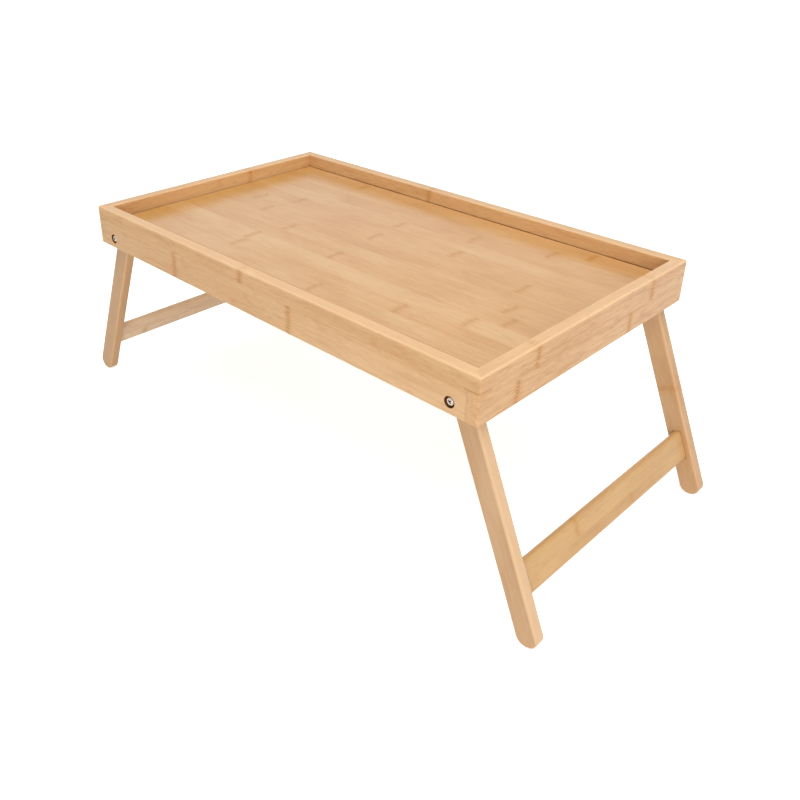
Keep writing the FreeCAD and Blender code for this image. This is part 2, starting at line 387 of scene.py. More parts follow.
def knuckles(graph, s, w, d, offset, period, reach):
    """The joints of the cane in one strip: a column of short brown dashes, and a soft halo. None
    lie further than reach from the board's middle."""
    wobble = fibres(graph, s, w, d, *WOBBLE_LAYER)
    jitter = fibres(graph, s, w, d, *JITTER_LAYER)
    bent = graph.math("ADD", s, graph.swing(wobble, -KNUCKLE_WOBBLE, KNUCKLE_WOBBLE))
    bent = graph.math("ADD", bent, graph.swing(jitter, -KNUCKLE_JITTER, KNUCKLE_JITTER))
    past = graph.math("SUBTRACT", bent, offset)
    away = graph.math("PINGPONG", past, graph.math("DIVIDE", period, 2.0))
    kept = graph.math("LESS_THAN", graph.math("ABSOLUTE", s), reach)
    core = graph.fit(away, *KNUCKLE_CORE, 1.0, 0.0, smooth=True)
    halo = graph.fit(away, *KNUCKLE_HALO, 1.0, 0.0, smooth=True)
    rise = graph.math("ADD", w, graph.math("MULTIPLY", d, DASH_SLANT))
    phase = graph.math("MULTIPLY", rise, 2.0 * math.pi / DASH_PITCH)
    phase = graph.math("ADD", phase, graph.swing(wobble, -DASH_WAVER, DASH_WAVER))
    dashes = graph.fit(graph.math("SINE", phase), *DASH_EDGES, DASH_GAPS, 1.0, smooth=True)
    fade = graph.fit(jitter, *FADING_NOISE, FADED_DASHES, 1.0)
    return graph.product(core, dashes, fade, kept), graph.math("MULTIPLY", halo, kept)


def shift_tone(graph, tone, layer, amount, clamp=False):
    """A tone, moved up and down with a layer of the grain by up to amount."""
    return graph.math("ADD", tone, graph.swing(layer, -amount, amount), clamp=clamp)


def wood_colour(graph, tones, shade, bundles, veins, grain):
    """The colour for a shade from 0, pale, to 1, deep, with the vascular marks drawn in."""
    colour = graph.mix(graph.fit(shade, 0.0, 0.5, 0.0, 1.0), tones[0], tones[1])
    colour = graph.mix(graph.fit(shade, 0.5, 1.0, 0.0, 1.0), colour, tones[2])
    dark = graph.fit(bundles, *DARK_BUNDLE_NOISE, 0.0, DARK_BUNDLES * grain)
    pale = graph.fit(bundles, *PALE_BUNDLE_NOISE, 0.0, PALE_BUNDLES * grain)
    colour = graph.mix(dark, colour, BUNDLE_BROWN)
    colour = graph.mix(pale, colour, tones[0])
    from_vein = graph.math("ABSOLUTE", graph.math("SUBTRACT", veins, VEIN_NOISE))
    vein = graph.fit(from_vein, 0.0, VEIN_WIDTH, VEINS * grain, 0.0)
    return graph.mix(vein, colour, BUNDLE_BROWN)


def bamboo(name, tones, origin, axes, strips, span, grain, dots, extras=(), reach=ANY_REACH,
           halos=PLAIN_HALOS, gloss=SATIN_ROUGHNESS, bare=None):
    """Bamboo laminated from strips. Each strip's row gives where it starts across the board, its
    first knuckle as a share of the knuckle spacing, its tone from pale to deep, and the spacing.
    Each of the extras draws over the wood: a mask from the place on the board, and its colour.
    The lacquer stays off the places that bare picks out."""
    graph = Material(name)
    local = graph.vector("SUBTRACT", graph.place(), origin)
    s, w, d = [graph.vector("DOT_PRODUCT", local, axis) for axis in axes]
    first, tone, spacing = graph.table(w, strips, *span)
    period = graph.fit(spacing, 0.0, 1.0, *KNUCKLE_SPACINGS)
    offset = graph.math("MULTIPLY", first, period)
    shifted = graph.math("ADD", s, graph.math("MULTIPLY", first, STRIP_SHIFT))
    sway = fibres(graph, shifted, w, d, *SWAY_LAYER)
    swayed = graph.math("ADD", w, graph.swing(sway, -SWAY, SWAY))
    broad = fibres(graph, shifted, swayed, d, *BROAD_LAYER)
    streak = fibres(graph, shifted, swayed, d, *STREAK_LAYER)
    fine = fibres(graph, shifted, swayed, d, *FINE_LAYER)
    cloud = fibres(graph, shifted, w, d, *CLOUD_LAYER)
    bundles = fibres(graph, shifted, swayed, d, *BUNDLE_LAYER)
    veins = fibres(graph, shifted, w, d, *VEIN_LAYER)

    shade = shift_tone(graph, tone, broad, BROAD_SHIFT * grain)
    shade = shift_tone(graph, shade, streak, STREAK_SHIFT * grain)
    shade = shift_tone(graph, shade, fine, FINE_SHIFT)
    shade = shift_tone(graph, shade, cloud, CLOUD_SHIFT, clamp=True)
    colour = wood_colour(graph, tones, shade, bundles, veins, grain)

    core, halo = knuckles(graph, s, w, d, offset, period, reach)
    colour = graph.mix(graph.math("MULTIPLY", halo, halos), colour, HALO_BROWN)
    colour = graph.mix(graph.math("MULTIPLY", core, dots), colour, KNUCKLE_BROWN)
    for mask, paint in extras:
        colour = graph.mix(mask(graph, s, w, d), colour, paint)

    height = graph.math("MULTIPLY", fine, FINE_HEIGHT)
    height = graph.math("ADD", height, graph.math("MULTIPLY", core, KNUCKLE_HEIGHT))
    rough = graph.swing(streak, gloss - SMOOTHER, gloss + ROUGHER)
    sheen = {}
    if bare:
        open_wood = bare(graph, s, w, d)
        rough = graph.math("MAXIMUM", rough, graph.math("MULTIPLY", open_wood, BARE_ROUGHNESS))
        specular = graph.fit(open_wood, 0.0, 1.0, LACQUER_SPECULAR, BARE_SPECULAR)
        sheen["Specular_IOR_Level"] = specular
    return graph.finish(
        **sheen,
        Base_Color=colour,
        Roughness=rough,
        IOR=LACQUER_IOR,
        Normal=graph.bump(height, WOOD_BUMP, WOOD_BUMP_STRENGTH),
    )


# ---------------------------------------------------------------- marks on the wood

# Each mark is a mask, 0 to 1, from the place on a board: s along its grain, w across its strips
# and d through its thickness. On a rail w is the height, and d the depth behind its outer face.
# A mark that needs a size is made by a function of that size.

# How strongly each is drawn, 0 to 1.
MITRE_SHARE = 0.2
SHOULDER_SHARE = 0.25
LAP_SHADE_SHARE = 0.2
TRENCH_SHARE = 0.9
BORE_SHADE_SHARE = 0.95
RIM_ARRIS_SHARE = 0.35
LEG_ARRIS_SHARE = 0.14
MORTISE_SHARE = 0.5
POOL_SHARE = 0.45
END_GRAIN_SHARE = 0.07
LIT_FACE_SHARE = 0.14
AMBER_LOW_SHARE = 0.12
AMBER_HIGH_SHARE = 0.22
FRONT_PALE_SHARE = 0.15

# Half the width of each line, before it fades out.
MITRE_HALF = 0.12 * MM
SHOULDER_HALF = 0.22 * MM
LAP_SHADE_HALF = 0.6 * MM
MORTISE_HALF = 0.25 * MM

# A mark on one flat face starts so far below the face, and is whole from so far below it.
FACE_START = 0.5 * MM
FACE_FULL = 0.2 * MM

# The end grain's mark is whole to so far behind the front of the rim, and gone beyond so far.
END_FACE = (0.1 * MM, 0.3 * MM)

# The line round a tenon shows no further than this from the leg's inner face.
INNER_FACE_REACH = 1.0 * MM

# The foot of a rail's inner face: its depth, and where above the panel it fades out.
FOOT_DEPTH = 0.4 * MM
FOOT_FULL = 0.2 * MM
FOOT_END = 0.5 * MM

# The noise between which the line along the panel varies, and its strength at each.
PATCHES = (0.35, 0.6, 0.55, 1.0)

TRENCH_FADE = 0.3 * MM
BORE_FADE = 0.08 * MM
KERF_FRINGE = 0.03 * MM

# Distances from a rail's end, or from the panel's, between which a mark fades out.
LAP_SHADE_RUN = (11.0 * MM, 16.0 * MM)
POOL_RUN = (12.0 * MM, 40.0 * MM)
POOL_SWAY = 9.0 * MM

# The stretches of the front rail over which its tone drifts, and how far below the lap line.
AMBER_RUN = (-0.8 * HALF_LENGTH, 0.1 * HALF_LENGTH)
FRONT_PALE_RUN = (-0.1 * HALF_LENGTH, 0.5 * HALF_LENGTH)
LAP_BLEND = 6.0 * MM

# An arris's painted highlight starts so far inside its edge, across one face or down the other,
# and is whole from the last of these distances outward.
RIM_ARRIS_WIDTH = 2.6 * MM
RIM_ARRIS_DROP = 2.2 * MM
RIM_ARRIS_FULL = 0.5 * MM
LEG_ARRIS_WIDTH = 2.4 * MM
LEG_ARRIS_FULL = 0.6 * MM


def line(graph, value, half_width):
    """1 where value is nearer to zero than half_width, fading out over as much again."""
    distance = graph.math("ABSOLUTE", value)
    return graph.fit(distance, half_width, 2.0 * half_width, 1.0, 0.0, smooth=True)


def past_edge(graph, value, middle, half):
    """How far value lies beyond the edges, half on either side of middle. Less than 0 inside."""
    from_middle = graph.math("ABSOLUTE", graph.math("SUBTRACT", value, middle))
    return graph.math("SUBTRACT", from_middle, half)


def on_face(graph, value, face, share):
    """share on a flat face, and 0 from a little way below it."""
    return graph.fit(value, face - FACE_START, face - FACE_FULL, 0.0, share)


def rail_seams(half_run):
    """Glue lines where a rail meets its neighbours: the mitre above the lap line, and the square
    shoulder below it at the stopped end."""

    def draw(graph, s, w, d):
        from_end = graph.math("SUBTRACT", half_run, graph.math("ABSOLUTE", s))
        above = graph.math("GREATER_THAN", w, LAP_LINE + LAP_KERF / 2)
        below = graph.math("SUBTRACT", 1.0, above)
        mitre = line(graph, graph.math("SUBTRACT", from_end, d), MITRE_HALF)
        to_shoulder = graph.math("SUBTRACT", half_run - RAIL_THICKNESS, s)
        shoulder = line(graph, to_shoulder, SHOULDER_HALF)
        mitre = graph.product(mitre, above, MITRE_SHARE)
        shoulder = graph.product(shoulder, below, SHOULDER_SHARE)
        return graph.math("MAXIMUM", mitre, shoulder)

    return draw


def rail_foot(graph, s, w, d):
    """The foot of a rail's inner face, where the panel goes into it."""
    inside = graph.math("GREATER_THAN", d, RAIL_THICKNESS - FOOT_DEPTH)
    above = graph.math("GREATER_THAN", w, PANEL_TOP - TRENCH_DEPTH)
    below = graph.fit(w, PANEL_TOP + FOOT_FULL, PANEL_TOP + FOOT_END, 1.0, 0.0, smooth=True)
    return graph.product(inside, above, below)


def panel_shade_line(graph, s, w, d):
    """Painted shade: a dark line along the foot of a rail's inner face, where the panel meets it.
    """
    patchy = graph.fit(fibres(graph, s, w, d, *PATCH_LAYER), *PATCHES)
    return graph.math("MULTIPLY", rail_foot(graph, s, w, d), patchy)


def panel_trench(graph, s, w, d):
    """The narrow trench between the panel's raised field and the rails: painted shade."""
    across = past_edge(graph, s, 0.0, HALF_LENGTH - RAIL_THICKNESS - PANEL_SIDE_GAP)
    along = past_edge(graph, w, 0.0, HALF_WIDTH - RAIL_THICKNESS - PANEL_SIDE_GAP)
    beyond = graph.math("MAXIMUM", across, along)
    return graph.fit(beyond, -TRENCH_FADE, 0.0, 0.0, TRENCH_SHARE)


def lap_shade(half_run):
    """Painted shade: a soft brown edge along each lap kerf."""

    def draw(graph, s, w, d):
        from_end = graph.math("SUBTRACT", half_run, graph.math("ABSOLUTE", s))
        beside = line(graph, graph.math("SUBTRACT", w, LAP_LINE), LAP_SHADE_HALF)
        near_end = graph.fit(from_end, *LAP_SHADE_RUN, LAP_SHADE_SHARE, 0.0, smooth=True)
        return graph.math("MULTIPLY", beside, near_end)

    return draw


def kerf_walls(half_run):
    """The lap kerfs' walls, painted light. A kerf runs past the shoulder at the stopped end."""

    def draw(graph, s, w, d):
        beyond = past_edge(graph, w, LAP_LINE + LAP_KERF / 2, LAP_KERF / 2 + KERF_FRINGE)
        uncut = half_run - RAIL_THICKNESS - KERF_OVERRUN / 2
        at_end = graph.math("GREATER_THAN", past_edge(graph, s, -KERF_OVERRUN / 2, uncut), 0.0)
        return graph.math("MULTIPLY", graph.math("LESS_THAN", beyond, 0.0), at_end)

    return draw


def rail_bare(half_run):
    """Where a rail has no lacquer: in the lap kerfs, and where the panel goes in."""

    def draw(graph, s, w, d):
        cut = kerf_walls(half_run)(graph, s, w, d)
        return graph.math("MAXIMUM", rail_foot(graph, s, w, d), cut)

    return draw


def front_amber(graph, s, w, d):
    """The front rail turns a little deeper in colour towards its left end, most of all on top."""
    share = graph.fit(s, *AMBER_RUN, 1.0, 0.0)
    strength = graph.fit(w, LAP_LINE - LAP_BLEND, LAP_LINE, AMBER_LOW_SHARE, AMBER_HIGH_SHARE)
    return graph.math("MULTIPLY", share, strength)


def front_pale(graph, s, w, d):
    """The front rail's lower strip turns paler towards its right end."""
    share = graph.fit(s, *FRONT_PALE_RUN, 0.0, FRONT_PALE_SHARE)
    return graph.math("MULTIPLY", share, graph.fit(w, LAP_LINE - LAP_BLEND, LAP_LINE, 1.0, 0.0))


def end_grain(graph, s, w, d):
    """The right rail's end grain on the front of the rim, a little paler."""
    full, end = END_FACE
    return graph.fit(s, full - HALF_WIDTH, end - HALF_WIDTH, END_GRAIN_SHARE, 0.0)


def rim_edge_highlight(graph, s, w, d):
    """Painted highlight along the long edges of the rim's top, paler than the faces beside them.
    """
    outward = past_edge(graph, d, RAIL_THICKNESS / 2, RAIL_THICKNESS / 2)
    beside = graph.fit(outward, -RIM_ARRIS_WIDTH, -RIM_ARRIS_FULL, 0.0, 1.0, smooth=True)
    start, full = RIM_TOP - RIM_ARRIS_DROP, RIM_TOP - RIM_ARRIS_FULL
    high = graph.fit(w, start, full, 0.0, 1.0, smooth=True)
    return graph.product(beside, high, RIM_ARRIS_SHARE)


def painted_top_light(paler):
    """Painted light: the rim's top face, drawn paler than its sides by so much."""

    def draw(graph, s, w, d):
        return on_face(graph, w, RIM_TOP, paler)

    return draw


def bore_shade(graph, s, w, d):
    """Painted shade inside the screw holes of the long rails."""
    run = graph.math("SUBTRACT", graph.math("ABSOLUTE", s), PIVOT_X)
    rise = graph.math("SUBTRACT", w, PIVOT_Z)
    radius = graph.vector("LENGTH", graph.combine(run, rise, 0.0))
    return graph.fit(radius, BORE_RADIUS, BORE_RADIUS + BORE_FADE, BORE_SHADE_SHARE, 0.0)


def pooled_lacquer(graph, s, w, d):
    """Thicker, deeper coloured lacquer along the panel's left end."""
    from_end = graph.math("SUBTRACT", s, panel_low.x)
    sway = fibres(graph, s, w, d, *POOL_LAYER)
    edge = graph.math("ADD", from_end, graph.swing(sway, -POOL_SWAY, POOL_SWAY))
    return graph.fit(edge, *POOL_RUN, POOL_SHARE, 0.0, smooth=True)


def leg_edge_highlight(middle):
    """Painted highlight on the rounded long edges of a leg, paler than its faces. Middle is the
    leg's own y.
    """

    def draw(graph, s, w, d):
        through = past_edge(graph, d, middle, LEG_THICKNESS / 2)
        across = past_edge(graph, w, 0.0, LEG_WIDTH / 2)
        first = graph.fit(through, -LEG_ARRIS_WIDTH, -LEG_ARRIS_FULL, 0.0, 1.0, smooth=True)
        second = graph.fit(across, -LEG_ARRIS_WIDTH, -LEG_ARRIS_FULL, 0.0, 1.0, smooth=True)
        return graph.product(first, second, LEG_ARRIS_SHARE)

    return draw


def lit_outer_face(graph, s, w, d):
    """Painted light: the outward narrow face of the near right leg, drawn paler."""
    return on_face(graph, w, LEG_WIDTH / 2, LIT_FACE_SHARE)


def mortise_line(inner_face):
    """The thin dark joint round the crossbar's tenon, on the leg's inner face alone."""

    def draw(graph, s, w, d):
        from_face = past_edge(graph, d, inner_face, INNER_FACE_REACH)
        at_face = graph.math("LESS_THAN", from_face, 0.0)
        down = past_edge(graph, s, BAR_DOWN, BAR_HEIGHT / 2)
        across = past_edge(graph, w, 0.0, BAR_THICKNESS / 2)
        edge = line(graph, graph.math("MAXIMUM", down, across), MORTISE_HALF)
        return graph.product(edge, at_face, MORTISE_SHARE)

    return draw


# ---------------------------------------------------------------- the wooden pieces

# Each row: where the strip starts, its first knuckle, its tone and its knuckle spacing, the last
# three as shares. A spacing share s means 100 + 300 s millimetres.

FRONT_STRIPS = ((RIM_BOTTOM, 0.307, 0.32, 0.22), (LAP_LINE - 0.5 * MM, 0.965, 0.40, 0.999))
RIGHT_STRIPS = ((RIM_BOTTOM, 0.354, 0.44, 0.205), (RIM_TOP - 20 * MM, 0.526, 0.48, 0.235))
BACK_STRIPS = ((RIM_BOTTOM, 0.40, 0.30, 0.40), (RIM_TOP - 19 * MM, 0.147, 0.06, 0.667))
LEFT_STRIPS = ((RIM_BOTTOM, 0.70, 0.26, 0.50), (RIM_TOP - 20 * MM, 0.853, 0.28, 0.667))

# A rail's halos, for knuckles that are marked with full strength.
RAIL_HALOS = 0.6

# A leg's strips start so far across it, from the inward edge to the outward one.
LEG_SPAN = (-15.0 * MM, 15.0 * MM)
FRONT_RIGHT_STRIPS = ((-15 * MM, 0.72, 0.62, 0.8), (8 * MM, 0.85, 0.08, 0.8))
BACK_RIGHT_STRIPS = ((-15 * MM, 0.285, 0.58, 0.8),)
FRONT_LEFT_STRIPS = ((-15 * MM, 0.80, 0.0, 0.7), (-8 * MM, 0.80, 0.52, 0.7))
BACK_LEFT_STRIPS = ((-15 * MM, 0.44, 0.46, 0.75),)

# A crossbar's strips start so far down the leg from its pivot.
BAR_SPAN = (130.0 * MM, 175.0 * MM)
RIGHT_BAR_STRIPS = ((130 * MM, 0.78, 0.42, 0.47), (155 * MM, 0.12, 0.50, 0.48))
LEFT_BAR_STRIPS = ((130 * MM, 0.20, 0.50, 0.47), (155 * MM, 0.62, 0.44, 0.48))

# The panel's strips, from front to back, are all as wide, so their rows leave out the start.
PANEL_STRIP = 21.0 * MM
PANEL_FIRST_EDGE = -138.0 * MM
PANEL_ROWS = (
    (0.850, 0.42, 1.000),
    (0.090, 0.26, 1.000),
    (0.549, 0.38, 0.377),
    (0.629, 0.12, 0.583),
    (0.980, 0.44, 0.340),
    (0.665, 0.36, 0.583),
    (0.615, 0.52, 1.000),
    (0.933, 0.44, 0.260),
    (0.335, 0.50, 0.403),
    (0.960, 0.30, 1.000),
    (0.158, 0.54, 1.000),
    (0.350, 0.50, 1.000),
    (0.566, 0.40, 0.673),
    (0.050, 0.46, 1.000),
)


def rail_material(name, along, outward, strips, lit_top, marked, grain, own=()):
    """A rail's bamboo. Its top is drawn paler by so much, as painted light, and its knuckles are
    that strongly marked. Its own marks go under the ones that all rails have."""
    is_long = abs(along.x) > 0.5
    half_run, half_across = (HALF_LENGTH, HALF_WIDTH) if is_long else (HALF_WIDTH, HALF_LENGTH)
    extras = [
        *own, (painted_top_light(lit_top), TOP_LIGHT_PAINT), (rim_edge_highlight, PALE_TONE_AND_HIGHLIGHT),
        (rail_seams(half_run), GLUE_BROWN), (lap_shade(half_run), SEAM_SHADE_BROWN),
        (kerf_walls(half_run), KERF_LIGHT_PAINT), (panel_shade_line, SEAM_SHADE_BROWN),
    ]
    if is_long:
        extras.append((bore_shade, BORE_SHADE_BROWN))
    return bamboo(
        name, RIM_TONES, outward * half_across, (along, PLUS_Z, -outward), strips,
        (RIM_BOTTOM, RIM_TOP), grain=grain, dots=marked, halos=RAIL_HALOS * marked,
        extras=extras, bare=rail_bare(half_run), reach=RAIL_KNUCKLE_REACH,
    )


def panel_material():
    """The panel's bamboo, with more gloss than the rest."""
    strips = [
        (PANEL_FIRST_EDGE + index * PANEL_STRIP, *row) for index, row in enumerate(PANEL_ROWS)
    ]
    span = (PANEL_FIRST_EDGE, PANEL_FIRST_EDGE + PANEL_STRIP * len(PANEL_ROWS))
    return bamboo(
        "bamboo_panel", PANEL_TONES, Vector((0, 0, 0)), (PLUS_X, PLUS_Y, PLUS_Z), strips, span,
        grain=0.72, dots=0.42, halos=0.28, gloss=LACQUER_ROUGHNESS,
        extras=[(pooled_lacquer, AMBER_BROWN), (panel_trench, SEAM_SHADE_BROWN)],
        bare=panel_trench, reach=PANEL_KNUCKLE_REACH,
    )


def leg_axes(side):
    """Down the leg, across it and through it, for the leg frame on one side, 1 or -1."""
    down = Vector((side * math.sin(SPLAY), 0, -math.cos(SPLAY)))
    across = Vector((side * math.cos(SPLAY), 0, math.sin(SPLAY)))
    return down, across, PLUS_Y


def pivot_place(side):
    """A leg frame's pivot, in the middle of the tray's width."""
    return Vector((side * PIVOT_X, 0, PIVOT_Z))


def leg_material(node, side, tones, strips, own=()):
    """A leg's bamboo. Its own marks go under the ones that all legs have."""
    low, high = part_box(node)
    inner_face = min(low.y, high.y, key=abs)
    arrises = leg_edge_highlight((low.y + high.y) / 2)
    return bamboo(
        "bamboo_" + node, tones, pivot_place(side), leg_axes(side), strips, LEG_SPAN,
        grain=0.5, dots=0.38,
        extras=[*own, (arrises, PALE_TONE_AND_HIGHLIGHT), (mortise_line(inner_face), GLUE_BROWN)],
    )


def crossbar_material(name, side, tones, strips):
    """A crossbar's bamboo. Its grain runs along Y, and its strips lie one above the other."""
    down, across, through = leg_axes(side)
    axes = (through, down, across)
    return bamboo(name, tones, pivot_place(side), axes, strips, BAR_SPAN, grain=0.8, dots=0.45)


def rail_looks():
    """The rails' materials, by their nodes."""
    return {
        "front_rail": rail_material(
            "bamboo_front", PLUS_X, -PLUS_Y, FRONT_STRIPS, lit_top=0.47, marked=0.72, grain=1.5,
            own=[(front_amber, AMBER_BROWN), (front_pale, PALE_TONE_AND_HIGHLIGHT)],
        ),
        "right_rail": rail_material(
            "bamboo_right", PLUS_Y, PLUS_X, RIGHT_STRIPS, lit_top=0.45, marked=0.78, grain=1.9,
            own=[(end_grain, PALE_TONE_AND_HIGHLIGHT)],
        ),
        "back_rail": rail_material(
            "bamboo_back", -PLUS_X, PLUS_Y, BACK_STRIPS, lit_top=0.1, marked=0.5, grain=1.3
        ),
        "left_rail": rail_material(
            "bamboo_left", -PLUS_Y, -PLUS_X, LEFT_STRIPS, lit_top=0.2, marked=0.45, grain=1.3
        ),
    }


def leg_frame_looks():
    """The materials of the legs and the crossbars, by their nodes."""
    return {
        "front_right_leg": leg_material(
            "front_right_leg", 1, LEG_TONES, FRONT_RIGHT_STRIPS, own=[(lit_outer_face, PALE_TONE_AND_HIGHLIGHT)]
        ),
        "back_right_leg": leg_material("back_right_leg", 1, LEG_TONES, BACK_RIGHT_STRIPS),
        "front_left_leg": leg_material("front_left_leg", -1, LEFT_LEG_TONES, FRONT_LEFT_STRIPS),
        "back_left_leg": leg_material("back_left_leg", -1, LEFT_LEG_TONES, BACK_LEFT_STRIPS),
        "right_crossbar": crossbar_material("bamboo_bar_right", 1, BAR_TONES, RIGHT_BAR_STRIPS),
        "left_crossbar": crossbar_material("bamboo_bar_left", -1, LEFT_BAR_LIT_TONES, LEFT_BAR_STRIPS),
    }


def dress(node, look):
    """Gives a CAD node's own object a better material."""
    for place in nodes[node].material_slots:
        place.material = look


for wooden, wood_look in {**rail_looks(), "panel": panel_material(), **leg_frame_looks()}.items():
    dress(wooden, wood_look)

# ---------------------------------------------------------------- metal

# A zinc's middle colour, and how much paler and darker its mottle makes it.
ZINC_GREY = (srgb(210, 205, 197), 0.08)
# The screws' zinc is drawn warmer and darker, as a painted reflection of the wood round their
# heads.
SCREW_GREY = (srgb(206, 194, 178), 0.10)

# Noise, as marks to the metre, and the roughness between which the metal and the nylon vary.
ZINC_MOTTLE = 900.0
ZINC_MARKS = 4000.0
ZINC_ROUGHNESS = (0.20, 0.34)
ZINC_BUMP = 0.02 * MM
ZINC_BUMP_STRENGTH = 0.3
NYLON_MOTTLE = 1500.0
NYLON_ROUGHNESS = (0.38, 0.5)
NYLON_TONES = (srgb(232, 230, 222), srgb(214, 212, 203))
# Painted shade in a screw's cross recess.
RECESS_SHADE_BROWN = srgb(72, 58, 50)
RECESS_SHADE_SHARE = 0.85

# Sizes in millimetres. Heights run along a pivot, inward from the outer face of the long rail,
# and each row of an outline is a radius and a height.

HEAD_OUTLINE = (
    (0.02, 0.30), (0.9, 0.32), (1.6, 0.37), (2.2, 0.46), (2.7, 0.60), (3.05, 0.80),
    (3.3, 1.08), (3.44, 1.40), (3.5, 1.75), (3.5, 2.74), (3.44, 2.86), (3.3, 2.9),
)
HEAD_TOP = 0.3
HEAD_SEAT = 2.9
RECESS_DEPTH = 1.7
RECESS_REACH = 2.05

# Painted shade starts and is whole so far down the recess. The cutter starts so far above the
# head.
RECESS_SHADE_START = 0.2
RECESS_SHADE_FULL = 0.6
CUTTER_RISE = 0.5

# Half the length and half the width of a wing of the cross recess.
WING_TOP = (RECESS_REACH, 0.6)
WING_BOTTOM = (0.75, 0.3)

SHANK_RADIUS = 2.0
THREAD_START = 22.0
THREAD_PITCH = 0.7
THREAD_DEPTH = 0.4
ROWS_PER_PITCH = 6
SCREW_TIP = 30.9
TIP_CHAMFER = 0.6

# How steep the thread's flanks are, and how flat its crest is.
THREAD_SLOPE = 3.0
THREAD_FLAT = 0.25

NUT_SEAT = 23.3
NUT_HEX_TOP = 26.7
NUT_HALF_FLATS = 3.5
NUT_FACE_RADIUS = 3.42
NUT_BORE = 2.0

# The tangent of the 30 degrees at which the nut's corners are chamfered.
NUT_CHAMFER = 0.577

COLLAR_OUTLINE = (
    (3.16, 26.76), (3.1, 26.9), (3.1, 27.7), (3.02, 28.0), (2.84, 28.22), (2.62, 28.3),
    (2.46, 28.24), (2.42, 28.05), (2.0, 27.4),
)
INSERT_OUTLINE = (
    (1.9, 27.5), (2.44, 27.5), (2.44, 28.1), (2.36, 28.18), (2.1, 28.18), (1.9, 28.1),
)

SCREW_SEGMENTS = 36
NUT_SEGMENTS = 72
INSERT_SEGMENTS = 48
SHARP_ANGLE = math.radians(32.0)

# How far each screw is turned past the one before it, and how many times as far each nut is.
TWIST_STEP = 0.35
NUT_TWISTS = 3


def zinc(name, base, spread, recess=False):
    """Bright zinc plating: pale grey with a faint mottle and fine marks. A screw's recess, near
    the head's end of the piece's own Z axis, is painted dark, as shade."""
    graph = Material(name)
    mottle = graph.even_noise(ZINC_MOTTLE, detail=3.0)
    marks = graph.even_noise(ZINC_MARKS)
    pale = tuple(min(1.0, channel * (1.0 + spread)) for channel in base[:3]) + (1.0,)
    dark = tuple(channel * (1.0 - spread) for channel in base[:3]) + (1.0,)
    colour = graph.mix(graph.swing(mottle, 0.0, 1.0), dark, pale)
    if recess:
        place = graph.place()
        depth = graph.vector("DOT_PRODUCT", place, PLUS_Z)
        start, full = (HEAD_TOP + RECESS_SHADE_START) * MM, (HEAD_TOP + RECESS_SHADE_FULL) * MM
        sunk = graph.fit(depth, start, full, 0.0, RECESS_SHADE_SHARE)
        radius = graph.vector("LENGTH", graph.vector("MULTIPLY", place, (1.0, 1.0, 0.0)))
        inside = graph.math("LESS_THAN", radius, RECESS_REACH * MM)
        ahead = graph.math("LESS_THAN", depth, HEAD_SEAT * MM)
        colour = graph.mix(graph.product(sunk, inside, ahead), colour, RECESS_SHADE_BROWN)
    return graph.finish(
        Base_Color=colour,
        Metallic=1.0,
        Roughness=graph.swing(marks, *ZINC_ROUGHNESS),
        Normal=graph.bump(marks, ZINC_BUMP, ZINC_BUMP_STRENGTH),
    )


def nylon():
    """The off-white nylon of a lock nut's insert."""
    graph = Material("nylon")
    mottle = graph.even_noise(NYLON_MOTTLE)
    return graph.finish(
        Base_Color=graph.mix(mottle, *NYLON_TONES),
        Roughness=graph.swing(mottle, *NYLON_ROUGHNESS),
    )


def finished_mesh(name, shape):
    """The mesh of a bmesh, with its faces turned outward."""
    mesh = bpy.data.meshes.new(name)
    bmesh.ops.recalc_face_normals(shape, faces=shape.faces)
    shape.to_mesh(mesh)
    shape.free()
    return mesh


def spun(name, rows, segments, closed=False):
    """A mesh turned about Z. Each row gives a radius and a height, in millimetres, for an angle;
    closed joins the last row to the first, and otherwise both ends are capped."""
    shape = bmesh.new()
    rings = []
    for row in rows:
        ring = []
        for index in range(segments):
            angle = 2.0 * math.pi * index / segments
            radius, height = row(angle)
            place = (radius * math.cos(angle) * MM, radius * math.sin(angle) * MM, height * MM)
            ring.append(shape.verts.new(place))
        rings.append(ring)
    pairs = list(zip(rings, rings[1:]))
    if closed:
        pairs.append((rings[-1], rings[0]))
    for lower, upper in pairs:
        for index in range(segments):
            after = (index + 1) % segments
            shape.faces.new((lower[index], lower[after], upper[after], upper[index]))
    if not closed:
        shape.faces.new(list(reversed(rings[0])))
        shape.faces.new(rings[-1])
    mesh = finished_mesh(name, shape)
    mesh.shade_smooth()
    mesh.set_sharp_from_angle(angle=SHARP_ANGLE)
    return mesh


def fixed(radius, height):
    """A row for spun that is the same all round."""
    return lambda angle: (radius, height)


def thread_row(height):
    """One row of the thread: the radius swings once round a turn and once along each pitch."""

    def place(angle):
        turn = (height / THREAD_PITCH - angle / (2.0 * math.pi)) % 1.0
        depth = min(max(abs(turn - 0.5) * THREAD_SLOPE - THREAD_FLAT, 0.0), 1.0) * THREAD_DEPTH
        tip_limit = SHANK_RADIUS - max(0.0, TIP_CHAMFER - (SCREW_TIP - height))
        return min(SHANK_RADIUS - depth, tip_limit), height

    return place


